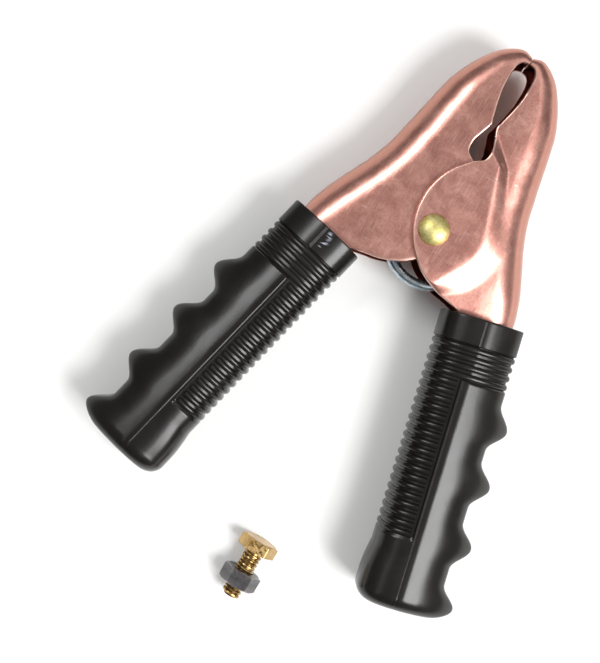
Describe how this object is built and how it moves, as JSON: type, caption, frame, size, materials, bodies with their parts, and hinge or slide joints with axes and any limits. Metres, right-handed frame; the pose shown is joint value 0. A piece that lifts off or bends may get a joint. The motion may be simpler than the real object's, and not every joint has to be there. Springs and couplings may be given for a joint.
{
  "type": "ground clamp",
  "caption": "Spring clamp with two pressed copper-coloured jaws on a rivet, lobed black slip-on grips and a loose terminal screw.",
  "frame": {"origin": "on the pivot rivet's axis, halfway between the ears", "axes": "+Y towards the jaw tips, +X towards the half whose ears lie outside, +Z towards the rivet's domed head"},
  "size_m": [0.1328, 0.1949, 0.0277],
  "materials": {
    "copper": "satin copper plating",
    "rivet_brass": "polished",
    "spring_zinc": "bright zinc plating",
    "grip_pvc": "satin moulded PVC",
    "bolt_brass": "as machined",
    "nut_steel": "dark zinc plating"
  },
  "bodies": {
    "pivot": {"pivot_rivet": "rivet_brass", "torsion_spring": "spring_zinc"},
    "left_half": {"left_jaw": "copper"},
    "right_half": {"right_jaw": "copper"},
    "left_grip": {"left_grip": "grip_pvc"},
    "right_grip": {"right_grip": "grip_pvc"},
    "terminal_bolt": {"terminal_bolt": "bolt_brass"},
    "terminal_nut": {"terminal_nut": "nut_steel"}
  },
  "joints": [
    {"name": "right_swing", "type": "hinge", "parent": "pivot", "child": "right_half", "pos_m": [0, 0, 0], "axis": [0, 0, -1], "range_deg": [0, 13.5], "stiffness_Nm_per_rad": 3, "springref_deg": -45.84, "deforming": ["torsion_spring"]},
    {"name": "left_swing", "type": "hinge", "parent": "pivot", "child": "left_half", "pos_m": [0, 0, 0], "axis": [0, 0, 1], "range_deg": [0, 16.88]},
    {"name": "left_grip_pull", "type": "slide", "parent": "left_half", "child": "left_grip", "axis": [-0.2334, -0.9724, 0], "range_m": [0, 0.09]},
    {"name": "right_grip_pull", "type": "slide", "parent": "right_half", "child": "right_grip", "axis": [0.2334, -0.9724, 0], "range_m": [0, 0.09]},
    {"name": "screw_lift", "type": "slide", "parent": "pivot", "child": "terminal_bolt", "axis": [0, 0, 1], "range_m": [0, 0.05]},
    {"name": "nut_turn", "type": "hinge", "parent": "terminal_bolt", "child": "terminal_nut", "pos_m": [0.00385, -0.1226, -0.00775], "axis": [0, -1, 0], "continuous": true}
  ],
  "couplings": [
    {"joint": "left_swing", "follows": "right_swing", "ratio": 1.25}
  ]
}
